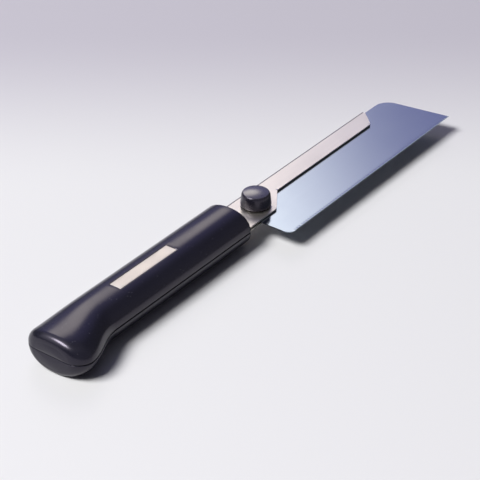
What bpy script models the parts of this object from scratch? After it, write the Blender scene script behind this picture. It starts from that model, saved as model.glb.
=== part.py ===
"""Razor saw: a thin toothed blade clamped in a folded steel back, on a two-part moulded handle.

Units are metres and the saw lies flat. +X runs from the handle to the blade's tip, +Y from the teeth to
the back and +Z up. The layout is measured from the blade's heel (x = 0), its tooth line (y = 0) and the
surface the saw lies on (z = 0). An empty then shifts the whole saw so that the origin is below the middle
of its bounding box.
"""
import math

import bmesh
import bpy
from mathutils import Matrix, Vector

# Gap kept between pieces that touch on the real saw
CLEARANCE = 0.0003

# Blade
BLADE_LENGTH = 0.150
BLADE_WIDTH = 0.039
BLADE_THICKNESS = 0.0004
TIP_SETBACK = 0.0057
TIP_CORNER_RADIUS = 0.009
HEEL_CORNER_RADIUS = 0.0043
HEEL_CHAMFER = 0.0103
TOOTH_PITCH = 0.001
TOOTH_DEPTH = 0.0008
TOOTH_LEAN = 0.3
BLADE_HOLE_DIAMETER = 0.005

# Clamp axis, measured on the blade
CLAMP_FROM_HEEL = 0.0099
CLAMP_FROM_BACK = 0.0106

# Folded holder: two leaves of one sheet, a wide plate at the handle and a narrow strip along the back
LEAF_THICKNESS = 0.0009
FOLD_FLAT = 0.0002
PLATE_WIDTH = 0.0219
PLATE_LENGTH = 0.023
SLANT_LENGTH = 0.015
STRIP_WIDTH = 0.0117
HOLDER_REACH = 0.1335
STRIP_END_CUT = 0.0088
STRIP_END_FLAT = 0.0026

# Tang of the holder inside the handle
TANG_LENGTH = 0.088
TANG_WIDTH = 0.015
TANG_SCREW_EDGE = 0.012

# Handle
HANDLE_SETBACK = 0.0095
HANDLE_LENGTH = 0.136
HANDLE_HEIGHT = 0.0192
GRIP_WIDTH = 0.0274
GRIP_BACK_PROUD = 0.0036
SECTION_POWER = 2.2
REST_LAND = 0.0005
FRONT_RIM_RADIUS = 0.0015
BUTT_EDGE_RADIUS = 0.003
BUTT_BACK_RADIUS = 0.007
BUTT_TOOTH_RADIUS = 0.0085
POMMEL_DROP = 0.0077
POMMEL_FLARE_LENGTH = 0.026
POMMEL_LENGTH = 0.0075
PARTING_GAP = CLEARANCE
PARTING_LIP = 0.0005

# Label plate in the top of the handle
LABEL_LENGTH = 0.041
LABEL_WIDTH = 0.0064
LABEL_THICKNESS = 0.0005
LABEL_FROM_FRONT = 0.046
LABEL_RECESS_DEPTH = 0.0011

# Clamp: a knob on a threaded stud, a washer held in the knob's foot, and a nut pressed into the lower leaf
STUD_DIAMETER = 0.004
STUD_HEAD_DIAMETER = 0.0064
STUD_HEAD_HEIGHT = 0.0038
STUD_END_BELOW_NUT = 0.0006
STUD_TIP_CHAMFER = 0.0005
KNOB_TOP_DIAMETER = 0.0149
KNOB_BASE_DIAMETER = 0.0157
KNOB_HEIGHT = 0.0078
KNOB_DOME_HEIGHT = 0.0007
KNOB_RIM_RADIUS = 0.0012
KNOB_FOOT_RADIUS = 0.0008
WASHER_DIAMETER = 0.010
WASHER_THICKNESS = 0.0006
NUT_DIAMETER = 0.009
NUT_PILOT_DIAMETER = 0.0064
NUT_FLANGE_THICKNESS = 0.0022

# Self-tapping screws that close the handle from below
SCREW_DIAMETER = 0.003
SCREW_HEAD_DIAMETER = 0.0055
SCREW_HEAD_HEIGHT = 0.002
SCREW_HEAD_CROWN = 0.0006
SCREW_HEAD_RECESS = 0.001
SCREW_BITE = 0.006
SCREW_TIP_LENGTH = 0.0015
SCREW_CROSS_LENGTH = 0.0032
SCREW_CROSS_WIDTH = 0.0007
SCREW_CROSS_DEPTH = 0.0010
REAR_SCREW_FROM_BUTT = 0.017

# Facets
ARC_STEPS = 6
DOME_STEPS = 5
FOLD_STEPS = 5
ROUND_SIDES = 32
KNOB_ARC_STEPS = 4
SCREW_SIDES = 24
HALF_SECTION_STEPS = 22
FLARE_STEPS = 10
END_STEPS = 7
LEAST_STATION_STEP = 0.0001
SMOOTH_BELOW = math.radians(30)
# How far a cutter runs past the face that it opens
OVERRUN = 0.001
# Points closer than this are one point
WELD = 1e-6

# Heights that follow from the sizes above
BLADE_Z = HANDLE_HEIGHT / 2
BLADE_TOP = BLADE_Z + BLADE_THICKNESS / 2
BLADE_BOTTOM = BLADE_Z - BLADE_THICKNESS / 2
SLOT_HEIGHT = BLADE_THICKNESS + 2 * CLEARANCE
HOLDER_HEIGHT = SLOT_HEIGHT + 2 * LEAF_THICKNESS
HOLDER_TOP = BLADE_Z + HOLDER_HEIGHT / 2
HOLDER_BOTTOM = BLADE_Z - HOLDER_HEIGHT / 2
WASHER_BOTTOM = HOLDER_TOP + CLEARANCE
WASHER_TOP = WASHER_BOTTOM + WASHER_THICKNESS
KNOB_BOTTOM = WASHER_BOTTOM + CLEARANCE
KNOB_SEAT = WASHER_TOP + CLEARANCE
NUT_TOP = HOLDER_BOTTOM - CLEARANCE
NUT_BOTTOM = NUT_TOP - NUT_FLANGE_THICKNESS
SCREW_SEAT = SCREW_HEAD_RECESS + SCREW_HEAD_HEIGHT
SCREW_END = BLADE_Z + SCREW_BITE

# Places along the saw
FRONT_X = -HANDLE_SETBACK
BUTT_X = FRONT_X - HANDLE_LENGTH
SHOULDER_X = FRONT_X + CLEARANCE
TANG_END_X = FRONT_X - TANG_LENGTH
STRIP_END_X = FRONT_X + HOLDER_REACH
SLANT_X = FRONT_X + PLATE_LENGTH
CLAMP_X = CLAMP_FROM_HEEL

# Places across the saw
SLOT_FLOOR_Y = BLADE_WIDTH + CLEARANCE
HOLDER_BACK_Y = SLOT_FLOOR_Y + LEAF_THICKNESS
PLATE_TOOTH_Y = HOLDER_BACK_Y - PLATE_WIDTH
STRIP_TOOTH_Y = HOLDER_BACK_Y - STRIP_WIDTH
GRIP_BACK_Y = HOLDER_BACK_Y + GRIP_BACK_PROUD
GRIP_TOOTH_Y = GRIP_BACK_Y - GRIP_WIDTH
GRIP_Y = (GRIP_BACK_Y + GRIP_TOOTH_Y) / 2
POMMEL_Y = GRIP_Y - POMMEL_DROP / 2
CLAMP_Y = BLADE_WIDTH - CLAMP_FROM_BACK

# Foot of the clamp axis, about which the blade swings and the knob turns
CLAMP_FOOT = Vector((CLAMP_X, CLAMP_Y, 0))

# Middle of the bounding box, which becomes the origin
MIDDLE = Vector(((BLADE_LENGTH + BUTT_X) / 2, GRIP_BACK_Y / 2, 0))

for leftover in list(bpy.data.objects):
    bpy.data.objects.remove(leftover, do_unlink=True)

parts = bpy.data.collections.new("razor_saw")
cutters = bpy.data.collections.new("razor_saw_cutters")
bpy.context.scene.collection.children.link(parts)
bpy.context.scene.collection.children.link(cutters)

saw_frame = bpy.data.objects.new("saw_frame", None)
saw_frame.location = -MIDDLE
parts.objects.link(saw_frame)


def material(name, colour, roughness, metallic):
    """Plain Principled material."""
    made = bpy.data.materials.new(name)
    made.use_nodes = True
    shader = made.node_tree.nodes["Principled BSDF"]
    shader.inputs["Base Color"].default_value = (*colour, 1)
    shader.inputs["Roughness"].default_value = roughness
    shader.inputs["Metallic"].default_value = metallic
    return made


HANDLE_PLASTIC = material("black_handle_plastic", (0.018, 0.017, 0.024), 0.35, 0)
KNOB_PLASTIC = material("black_knob_plastic", (0.020, 0.018, 0.022), 0.45, 0)
STAINLESS = material("brushed_stainless", (0.74, 0.71, 0.70), 0.30, 1)
BLADE_STEEL = material("blue_tinted_steel", (0.45, 0.58, 0.80), 0.22, 1)
LABEL_FOIL = material("cream_label_foil", (0.78, 0.74, 0.62), 0.40, 0.4)
ZINC = material("zinc_plated_steel", (0.62, 0.62, 0.60), 0.35, 1)


def place(mesh, name, finish, spot=(0, 0, 0)):
    """Put a finished part into the saw, with its mesh's origin at a spot of the layout."""
    part = bpy.data.objects.new(name, mesh)
    part.location = spot
    mesh.materials.clear()
    mesh.materials.append(finish)
    mesh.shade_smooth()
    mesh.set_sharp_from_angle(angle=SMOOTH_BELOW)
    part.parent = saw_frame
    parts.objects.link(part)
    return part


def cutter(mesh, name):
    """Put a cutting body into the saw."""
    body = bpy.data.objects.new(name, mesh)
    body.hide_render = True
    body.display_type = "WIRE"
    body.parent = saw_frame
    cutters.objects.link(body)
    return body


def cut(part, *bodies):
    """Take each cutting body out of a part."""
    for body in bodies:
        step = part.modifiers.new("cut_" + body.name, "BOOLEAN")
        step.operation = "DIFFERENCE"
        step.solver = "EXACT"
        step.object = body


def mesh_from(name, build):
    """Mesh filled by a function that draws into an empty bmesh."""
    drawn = bmesh.new()
    build(drawn)
    bmesh.ops.recalc_face_normals(drawn, faces=drawn.faces)
    mesh = bpy.data.meshes.new(name)
    drawn.to_mesh(mesh)
    drawn.free()
    return mesh


def box(name, low, high):
    """Box between two corners."""
    size = Vector(high) - Vector(low)
    middle = (Vector(high) + Vector(low)) / 2

    def build(drawn):
        stretch = Matrix.Diagonal((*size, 1))
        bmesh.ops.create_cube(drawn, size=1, matrix=Matrix.Translation(middle) @ stretch)

    return mesh_from(name, build)


def cylinder(name, diameter, x, y, z_low, z_high, sides):
    """Upright cylinder between two heights."""
    middle = Matrix.Translation((x, y, (z_low + z_high) / 2))

    def build(drawn):
        bmesh.ops.create_cone(
            drawn, cap_ends=True, segments=sides, radius1=diameter / 2, radius2=diameter / 2,
            depth=z_high - z_low, matrix=middle)

    return mesh_from(name, build)


def as_mesh(name, drawn):
    """Mesh of a drawn object as its curve or modifiers leave it, with its loose caps welded."""
    parts.objects.link(drawn)
    seen = drawn.evaluated_get(bpy.context.evaluated_depsgraph_get())
    mesh = bpy.data.meshes.new_from_object(seen)
    mesh.name = name
    bpy.data.objects.remove(drawn, do_unlink=True)
    welded = bmesh.new()
    welded.from_mesh(mesh)
    bmesh.ops.remove_doubles(welded, verts=welded.verts, dist=WELD)
    bmesh.ops.recalc_face_normals(welded, faces=welded.faces)
    welded.to_mesh(mesh)
    welded.free()
    return mesh


def plate(name, outlines, z_low, z_high):
    """Flat piece between two heights; the first outline is its edge and any others are holes in it."""
    curve = bpy.data.curves.new(name + "_outline", "CURVE")
    curve.dimensions = "2D"
    curve.fill_mode = "BOTH"
    curve.extrude = (z_high - z_low) / 2
    for outline in outlines:
        spline = curve.splines.new("POLY")
        spline.points.add(len(outline) - 1)
        spline.use_cyclic_u = True
        for point, (x, y) in zip(spline.points, outline):
            point.co = (x, y, 0, 1)
    mesh = as_mesh(name, bpy.data.objects.new(name + "_outline", curve))
    mesh.transform(Matrix.Translation((0, 0, (z_low + z_high) / 2)))
    return mesh


def turned(name, profile, sides, ring=False):
    """Piece turned about Z from (radius, height) points down its outer side; a ring's profile closes."""
    links = [(k, k + 1) for k in range(len(profile) - 1)]
    if ring:
        links.append((len(profile) - 1, 0))
    lathe = bpy.data.meshes.new(name + "_profile")
    lathe.from_pydata([(radius, 0, z) for radius, z in profile], links, [])
    blank = bpy.data.objects.new(name + "_profile", lathe)
    spin = blank.modifiers.new("spin", "SCREW")
    spin.steps = sides
    spin.render_steps = sides
    spin.use_merge_vertices = True
    spin.merge_threshold = WELD
    return as_mesh(name, blank)


def arc(centre, radius, start, end, steps=ARC_STEPS):
    """Points of an arc between two angles in degrees, both ends included."""
    turns = [math.radians(start + (end - start) * k / steps) for k in range(steps + 1)]
    return [(centre[0] + radius * math.cos(turn), centre[1] + radius * math.sin(turn)) for turn in turns]


def circle(centre, diameter, sides):
    """Points of a closed circle, with the first not repeated."""
    return arc(centre, diameter / 2, 0, 360, sides)[:-1]


def corner_round(before, corner, after, radius):
    """Points of the arc that rounds the corner between two neighbouring points of an outline."""
    corner = Vector(corner)
    inward = (Vector(before) - corner).normalized()
    outward = (Vector(after) - corner).normalized()
    half = inward.angle(outward) / 2
    centre = corner + (inward + outward).normalized() * radius / math.sin(half)
    first = corner + inward * radius / math.tan(half) - centre
    last = corner + outward * radius / math.tan(half) - centre
    start = math.degrees(math.atan2(first.y, first.x))
    sweep = math.degrees(first.angle_signed(last))
    return arc(centre, radius, start, start - sweep)


def blade_outline():
    """Edge of the blade: heel corner, teeth, sharp tip, rounded back corner and heel chamfer."""
    tip = (BLADE_LENGTH, 0)
    back_corner = (BLADE_LENGTH - TIP_SETBACK, BLADE_WIDTH)
    chamfer_top = (HEEL_CHAMFER, BLADE_WIDTH)
    chamfer_foot = (0, BLADE_WIDTH - HEEL_CHAMFER)
    outline = corner_round(chamfer_foot, (0, 0), tip, HEEL_CORNER_RADIUS)
    start = HEEL_CORNER_RADIUS
    count = int((BLADE_LENGTH - start) / TOOTH_PITCH)
    pitch = (BLADE_LENGTH - start) / count
    for tooth in range(count):
        root = start + tooth * pitch
        outline.append((root + TOOTH_LEAN * pitch, TOOTH_DEPTH))
        outline.append((root + pitch, 0))
    outline += corner_round(tip, back_corner, chamfer_top, TIP_CORNER_RADIUS)
    return outline + [chamfer_top, chamfer_foot]


def make_blade():
    """Thin toothed sheet that swings about the clamp axis."""
    hole = circle((CLAMP_X, CLAMP_Y), BLADE_HOLE_DIAMETER, SCREW_SIDES)
    sheet = plate("blade", [blade_outline(), hole], BLADE_BOTTOM, BLADE_TOP)
    sheet.transform(Matrix.Translation(-CLAMP_FOOT))
    place(sheet, "blade", BLADE_STEEL, CLAMP_FOOT)


def holder_outline():
    """Edge of the folded holder seen from above, from the tang's tooth side round to its back."""
    tang_tooth_y = GRIP_Y - TANG_WIDTH / 2
    tang_back_y = GRIP_Y + TANG_WIDTH / 2
    return [
        (TANG_END_X, tang_tooth_y),
        (SHOULDER_X, tang_tooth_y),
        (SHOULDER_X, PLATE_TOOTH_Y),
        (SLANT_X, PLATE_TOOTH_Y),
        (SLANT_X + SLANT_LENGTH, STRIP_TOOTH_Y),
        (STRIP_END_X - STRIP_END_CUT, STRIP_TOOTH_Y),
        (STRIP_END_X, HOLDER_BACK_Y - STRIP_END_FLAT),
        (STRIP_END_X, HOLDER_BACK_Y),
        (SHOULDER_X, HOLDER_BACK_Y),
        (SHOULDER_X, tang_back_y),
        (TANG_END_X, tang_back_y),
    ]


def round_fold(mesh):
    """Round the holder's back edge over its whole height, as the sheet is folded there."""
    drawn = bmesh.new()
    drawn.from_mesh(mesh)
    along = []
    for edge in drawn.edges:
        first, last = (point.co for point in edge.verts)
        on_back = min(first.y, last.y) > HOLDER_BACK_Y - WELD
        if on_back and abs(first.x - last.x) > HOLDER_HEIGHT and abs(first.z - last.z) < WELD:
            along.append(edge)
    radius = (HOLDER_HEIGHT - FOLD_FLAT) / 2
    bmesh.ops.bevel(
        drawn, geom=along, offset=radius, offset_type="OFFSET", segments=FOLD_STEPS, profile=0.5,
        affect="EDGES")
    drawn.to_mesh(mesh)
    drawn.free()


def make_holder(shank_holes):
    """One folded sheet: strip and plate outside the handle, tang inside it, a slot for the blade."""
    sheet = plate("blade_holder", [holder_outline()], HOLDER_BOTTOM, HOLDER_TOP)
    round_fold(sheet)
    holder = place(sheet, "blade_holder", STAINLESS)
    slot = box(
        "slot", (TANG_END_X - OVERRUN, PLATE_TOOTH_Y - OVERRUN, BLADE_Z - SLOT_HEIGHT / 2),
        (STRIP_END_X + OVERRUN, SLOT_FLOOR_Y, BLADE_Z + SLOT_HEIGHT / 2))
    stud_hole = cylinder(
        "stud_hole", STUD_DIAMETER + 2 * CLEARANCE, CLAMP_X, CLAMP_Y, BLADE_Z, HOLDER_TOP + OVERRUN,
        SCREW_SIDES)
    pilot_hole = cylinder(
        "pilot_hole", NUT_PILOT_DIAMETER + 2 * CLEARANCE, CLAMP_X, CLAMP_Y, HOLDER_BOTTOM - OVERRUN, BLADE_Z,
        SCREW_SIDES)
    cut(holder, cutter(slot, "slot"), cutter(stud_hole, "stud_hole"), cutter(pilot_hole, "pilot_hole"))
    cut(holder, *shank_holes)


def make_tang_spacer(screw_places):
    """Strip as thick as the blade that keeps the tang's two leaves apart where the handle grips them."""
    half = TANG_WIDTH / 2
    edge = [
        (TANG_END_X, GRIP_Y - half),
        (FRONT_X, GRIP_Y - half),
        (FRONT_X, GRIP_Y + half),
        (TANG_END_X, GRIP_Y + half),
    ]
    holes = [circle(spot, SCREW_DIAMETER + 2 * CLEARANCE, SCREW_SIDES) for spot in screw_places]
    strip = plate("tang_spacer", [edge, *holes], BLADE_BOTTOM, BLADE_TOP)
    place(strip, "tang_spacer", STAINLESS)


def drawn_in(distance, radius):
    """How far a rounded end draws a side in, at a distance from the end's face."""
    if distance >= radius:
        return 0
    return radius - math.sqrt(radius ** 2 - (radius - distance) ** 2)


def smooth_step(share):
    """Curve that leaves 0 and reaches 1 without a kink."""
    share = min(max(share, 0), 1)
    return share * share * (3 - 2 * share)


def handle_stations():
    """Distances from the handle's front where its section is drawn: close together where it changes."""
    turns = [math.radians(90 * k / END_STEPS) for k in range(END_STEPS + 1)]
    butt_radius = max(BUTT_EDGE_RADIUS, BUTT_BACK_RADIUS, BUTT_TOOTH_RADIUS)
    flare_end = HANDLE_LENGTH - POMMEL_LENGTH
    front = [FRONT_RIM_RADIUS * (1 - math.cos(turn)) for turn in turns]
    flare = [flare_end - POMMEL_FLARE_LENGTH * k / FLARE_STEPS for k in range(FLARE_STEPS + 1)]
    butt = [HANDLE_LENGTH - butt_radius * (1 - math.cos(turn)) for turn in turns]
    edge = [HANDLE_LENGTH - BUTT_EDGE_RADIUS * (1 - math.cos(turn)) for turn in turns]
    kept = []
    for distance in sorted(front + flare + butt + edge):
        if not kept or distance - kept[-1] > LEAST_STATION_STEP:
            kept.append(distance)
    kept[-1] = HANDLE_LENGTH
    return kept


def half_section(distance, upper):
    """Closed outline of one half of the handle, across the grip at a distance from its front.

    The curved side is a superellipse between the tooth side and the back, down to a small chamfer at the
    parting face. The lower half is a little deeper and is cut flat where the saw lies on it.
    """
    to_butt = HANDLE_LENGTH - distance
    rim = drawn_in(distance, FRONT_RIM_RADIUS)
    flare_start = HANDLE_LENGTH - POMMEL_LENGTH - POMMEL_FLARE_LENGTH
    flare = smooth_step((distance - flare_start) / POMMEL_FLARE_LENGTH)
    back_y = GRIP_BACK_Y - rim - drawn_in(to_butt, BUTT_BACK_RADIUS)
    tooth_y = GRIP_TOOTH_Y - POMMEL_DROP * flare + rim + drawn_in(to_butt, BUTT_TOOTH_RADIUS)
    height = BLADE_Z - rim - drawn_in(to_butt, BUTT_EDGE_RADIUS) + (0 if upper else REST_LAND)
    middle_y = (back_y + tooth_y) / 2
    half_width = (back_y - tooth_y) / 2
    parting = PARTING_GAP / 2
    lip = parting + PARTING_LIP
    first = math.asin((lip / height) ** (SECTION_POWER / 2))
    section = [(middle_y + half_width - PARTING_LIP, parting)]
    for k in range(HALF_SECTION_STEPS + 1):
        turn = first + (math.pi - 2 * first) * k / HALF_SECTION_STEPS
        across = math.copysign(abs(math.cos(turn)) ** (2 / SECTION_POWER), math.cos(turn))
        section.append((middle_y + half_width * across, height * math.sin(turn) ** (2 / SECTION_POWER)))
    section.append((middle_y - half_width + PARTING_LIP, parting))
    if upper:
        return [(FRONT_X - distance, y, BLADE_Z + rise) for y, rise in section]
    return [(FRONT_X - distance, y, BLADE_Z - min(drop, BLADE_Z)) for y, drop in section]


def loft(name, sections):
    """Closed skin over a row of closed sections with equal numbers of points, with flat ends."""

    def build(drawn):
        rows = [[drawn.verts.new(point) for point in section] for section in sections]
        count = len(sections[0])
        for row, following in zip(rows, rows[1:]):
            for k in range(count):
                after = (k + 1) % count
                drawn.faces.new((row[k], row[after], following[after], following[k]))
        drawn.faces.new(rows[0])
        drawn.faces.new(rows[-1])

    return mesh_from(name, build)


def make_handle(shank_holes, screw_places):
    """Two moulded halves that close on the tang, with the label's recess above and screw seats below."""
    halves = {}
    for name, upper in (("handle_upper_half", True), ("handle_lower_half", False)):
        skin = loft(name, [half_section(distance, upper) for distance in handle_stations()])
        halves[name] = place(skin, name, HANDLE_PLASTIC)
    reach = HOLDER_HEIGHT / 2 + CLEARANCE
    half = TANG_WIDTH / 2 + CLEARANCE
    pocket = cutter(box(
        "tang_pocket", (TANG_END_X - CLEARANCE, GRIP_Y - half, BLADE_Z - reach),
        (FRONT_X + OVERRUN, GRIP_Y + half, BLADE_Z + reach)), "tang_pocket")
    label_x = FRONT_X - LABEL_FROM_FRONT
    across = LABEL_WIDTH / 2 + CLEARANCE
    recess = cutter(box(
        "label_recess",
        (label_x - LABEL_LENGTH - CLEARANCE, GRIP_Y - across, HANDLE_HEIGHT - LABEL_RECESS_DEPTH),
        (label_x + CLEARANCE, GRIP_Y + across, HANDLE_HEIGHT + OVERRUN)), "label_recess")
    cut(halves["handle_upper_half"], pocket, recess, *shank_holes)
    cut(halves["handle_lower_half"], pocket, *shank_holes)
    for number, (x, y) in enumerate(screw_places, 1):
        seat = cylinder(
            f"screw_seat_{number}", SCREW_HEAD_DIAMETER + 2 * CLEARANCE, x, y, -OVERRUN,
            SCREW_SEAT + CLEARANCE, SCREW_SIDES)
        cut(halves["handle_lower_half"], cutter(seat, f"screw_seat_{number}"))


def make_label():
    """Thin plain plate lying in the recess on top of the handle."""
    front = FRONT_X - LABEL_FROM_FRONT
    floor = HANDLE_HEIGHT - LABEL_RECESS_DEPTH + CLEARANCE
    slip = box(
        "label_plate", (front - LABEL_LENGTH, GRIP_Y - LABEL_WIDTH / 2, floor),
        (front, GRIP_Y + LABEL_WIDTH / 2, floor + LABEL_THICKNESS))
    place(slip, "label_plate", LABEL_FOIL)


def make_clamp():
    """Knob with its stud, captive washer and pressed-in nut, all on the clamp axis."""
    stud_radius = STUD_DIAMETER / 2
    head_radius = STUD_HEAD_DIAMETER / 2
    stud_end = NUT_BOTTOM - STUD_END_BELOW_NUT
    head_top = KNOB_SEAT + STUD_HEAD_HEIGHT
    stud = turned("clamp_stud", [
        (0, head_top),
        (head_radius, head_top),
        (head_radius, KNOB_SEAT),
        (stud_radius, KNOB_SEAT),
        (stud_radius, stud_end + STUD_TIP_CHAMFER),
        (stud_radius - STUD_TIP_CHAMFER, stud_end),
        (0, stud_end),
    ], SCREW_SIDES)
    place(stud, "clamp_stud", ZINC, CLAMP_FOOT)

    knob_top = KNOB_BOTTOM + KNOB_HEIGHT
    rim_top = knob_top - KNOB_DOME_HEIGHT
    rim_inner = KNOB_TOP_DIAMETER / 2 - KNOB_RIM_RADIUS
    foot_inner = KNOB_BASE_DIAMETER / 2 - KNOB_FOOT_RADIUS
    washer_hold = WASHER_DIAMETER / 2 + CLEARANCE
    socket_radius = head_radius + CLEARANCE
    shares = [k / DOME_STEPS for k in range(DOME_STEPS)]
    dome = [(rim_inner * share, knob_top - KNOB_DOME_HEIGHT * share ** 2) for share in shares]
    rim = arc((rim_inner, rim_top - KNOB_RIM_RADIUS), KNOB_RIM_RADIUS, 90, 0, KNOB_ARC_STEPS)
    foot = arc((foot_inner, KNOB_BOTTOM + KNOB_FOOT_RADIUS), KNOB_FOOT_RADIUS, 0, -90, KNOB_ARC_STEPS)
    socket = [
        (washer_hold, KNOB_BOTTOM),
        (washer_hold, KNOB_SEAT),
        (socket_radius, KNOB_SEAT),
        (socket_radius, head_top + CLEARANCE),
        (0, head_top + CLEARANCE),
    ]
    knob = turned("clamp_knob", dome + rim + foot + socket, ROUND_SIDES)
    place(knob, "clamp_knob", KNOB_PLASTIC, CLAMP_FOOT)

    bore = stud_radius + CLEARANCE
    washer = turned("clamp_washer", [
        (bore, WASHER_TOP),
        (WASHER_DIAMETER / 2, WASHER_TOP),
        (WASHER_DIAMETER / 2, WASHER_BOTTOM),
        (bore, WASHER_BOTTOM),
    ], ROUND_SIDES, ring=True)
    place(washer, "clamp_washer", ZINC, CLAMP_FOOT)

    pilot_top = BLADE_Z - SLOT_HEIGHT / 2
    nut = turned("clamp_nut", [
        (bore, pilot_top),
        (NUT_PILOT_DIAMETER / 2, pilot_top),
        (NUT_PILOT_DIAMETER / 2, NUT_TOP),
        (NUT_DIAMETER / 2, NUT_TOP),
        (NUT_DIAMETER / 2, NUT_BOTTOM),
        (bore, NUT_BOTTOM),
    ], SCREW_SIDES, ring=True)
    place(nut, "clamp_nut", ZINC, CLAMP_FOOT)


def screw_recess_outline():
    """Edge of the cross in a screw's head, a quarter at a time."""
    reach = SCREW_CROSS_LENGTH / 2
    side = SCREW_CROSS_WIDTH / 2
    quarter = [Vector((reach, -side)), Vector((reach, side)), Vector((side, side))]
    turns = [Matrix.Rotation(math.radians(90 * k), 2) for k in range(4)]
    return [turn @ corner for turn in turns for corner in quarter]


def make_handle_screws(screw_places):
    """Pan-head self-tapping screws driven from below, all from one mesh with a cross recess in its head."""
    shank = SCREW_DIAMETER / 2
    head = SCREW_HEAD_DIAMETER / 2
    body = turned("screw_body", [
        (0, SCREW_END),
        (shank, SCREW_END - SCREW_TIP_LENGTH),
        (shank, SCREW_SEAT),
        (head, SCREW_SEAT),
        (head, SCREW_SEAT - SCREW_HEAD_HEIGHT / 2),
        (head - SCREW_HEAD_CROWN, SCREW_HEAD_RECESS),
        (0, SCREW_HEAD_RECESS),
    ], SCREW_SIDES)
    recess_top = SCREW_HEAD_RECESS + SCREW_CROSS_DEPTH
    recess = plate("screw_recess", [screw_recess_outline()], SCREW_HEAD_RECESS - OVERRUN, recess_top)
    recess = cutter(recess, "screw_recess")
    blank = bpy.data.objects.new("screw_body", body)
    blank.parent = saw_frame
    cut(blank, recess)
    screw = as_mesh("handle_screw", blank)
    bpy.data.objects.remove(recess)
    for name, (x, y) in zip(("front", "middle", "rear"), screw_places):
        place(screw, f"handle_screw_{name}", ZINC, (x, y, 0))


def main():
    tang_screws = [(FRONT_X - TANG_SCREW_EDGE, GRIP_Y), (TANG_END_X + TANG_SCREW_EDGE, GRIP_Y)]
    rear_screw = (BUTT_X + REAR_SCREW_FROM_BUTT, POMMEL_Y)
    screw_places = [*tang_screws, rear_screw]
    shank_holes = []
    for number, (x, y) in enumerate(screw_places, 1):
        hole = cylinder(
            f"shank_hole_{number}", SCREW_DIAMETER + 2 * CLEARANCE, x, y, -OVERRUN, SCREW_END + CLEARANCE,
            SCREW_SIDES)
        shank_holes.append(cutter(hole, f"shank_hole_{number}"))
    make_handle(shank_holes, screw_places)
    make_label()
    make_holder(shank_holes[:2])
    make_tang_spacer(tang_screws)
    make_blade()
    make_clamp()
    make_handle_screws(screw_places)
    bpy.context.view_layer.update()


main()
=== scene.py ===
"""Looks of a razor saw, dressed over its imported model.

Units are metres in the model's own frame: +X runs from the handle to the blade's tip, +Y from the teeth to
the back and +Z up, and the saw lies on z = 0. Each new piece is a surface worked out as whole arrays, and
stands for the plain solid that it replaces.
"""

import bmesh
import bpy
import numpy as np
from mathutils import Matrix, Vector


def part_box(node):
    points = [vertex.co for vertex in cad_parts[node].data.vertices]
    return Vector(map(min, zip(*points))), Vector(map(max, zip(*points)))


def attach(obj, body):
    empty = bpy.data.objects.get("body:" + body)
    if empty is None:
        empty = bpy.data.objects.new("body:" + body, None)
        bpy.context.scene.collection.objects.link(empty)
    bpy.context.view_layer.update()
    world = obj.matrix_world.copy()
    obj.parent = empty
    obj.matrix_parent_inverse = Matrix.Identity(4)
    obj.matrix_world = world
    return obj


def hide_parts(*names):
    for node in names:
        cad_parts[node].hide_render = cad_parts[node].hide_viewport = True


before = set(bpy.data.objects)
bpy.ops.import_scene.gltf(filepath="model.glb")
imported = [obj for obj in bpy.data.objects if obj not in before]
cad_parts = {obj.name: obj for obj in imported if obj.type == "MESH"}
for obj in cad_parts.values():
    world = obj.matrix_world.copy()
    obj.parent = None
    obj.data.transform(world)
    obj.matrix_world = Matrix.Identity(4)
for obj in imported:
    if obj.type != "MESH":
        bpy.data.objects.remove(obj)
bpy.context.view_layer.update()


def corners(node):
    """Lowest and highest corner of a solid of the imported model."""
    low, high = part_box(node)
    return np.array(low), np.array(high)


# Corners of the solids that the pieces stand for
UPPER_LOW, UPPER_HIGH = corners("handle_upper_half")
LABEL_LOW, LABEL_HIGH = corners("label_plate")
HOLDER_LOW, HOLDER_HIGH = corners("blade_holder")
BLADE_LOW, BLADE_HIGH = corners("blade")
KNOB_LOW, KNOB_HIGH = corners("clamp_knob")
STUD_LOW, STUD_HIGH = corners("clamp_stud")
WASHER_LOW, WASHER_HIGH = corners("clamp_washer")
NUT_LOW, NUT_HIGH = corners("clamp_nut")

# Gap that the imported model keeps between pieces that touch
CLEARANCE = 0.0003

# Heights and axes that follow from the corners
BLADE_Z = (BLADE_LOW[2] + BLADE_HIGH[2]) / 2
GRIP_Y = (LABEL_LOW[1] + LABEL_HIGH[1]) / 2
LABEL_X = (LABEL_LOW[0] + LABEL_HIGH[0]) / 2
FRONT_X = UPPER_HIGH[0]
BUTT_X = UPPER_LOW[0]
CLAMP_AXIS = (KNOB_LOW[:2] + KNOB_HIGH[:2]) / 2

# Handle: its sections are superellipses, and the lower ones are cut flat to lie on
HANDLE_LENGTH = FRONT_X - BUTT_X
HANDLE_TOP = UPPER_HIGH[2]
GRIP_WIDTH = 0.0274
SECTION_POWER = 2.2
REST_LAND = 0.0005
UPPER_HEIGHT = HANDLE_TOP - BLADE_Z
LOWER_HEIGHT = BLADE_Z + REST_LAND
FRONT_RIM_RADIUS = 0.0015
BUTT_TOP_RADIUS = 0.0042
BUTT_LOW_RADIUS = 0.003
BUTT_BACK_RADIUS = 0.007
BUTT_TOOTH_RADIUS = 0.0085
BUTT_CROWN = 0.0004
POMMEL_DROP = 0.0077
POMMEL_FLARE_LENGTH = 0.026
POMMEL_LENGTH = 0.0075
FLARE_END = HANDLE_LENGTH - POMMEL_LENGTH
FLARE_START = FLARE_END - POMMEL_FLARE_LENGTH
PARTING_LIP = 0.0005
PARTING_RISE = CLEARANCE / 2
LIP_TOP = PARTING_RISE + PARTING_LIP
SECTION_STEPS = 96
LIP_STEPS = 5
RIM_STEPS = 10
GRIP_LINES = 40
FLARE_LINES = 36
BUTT_STEPS = 18
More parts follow.
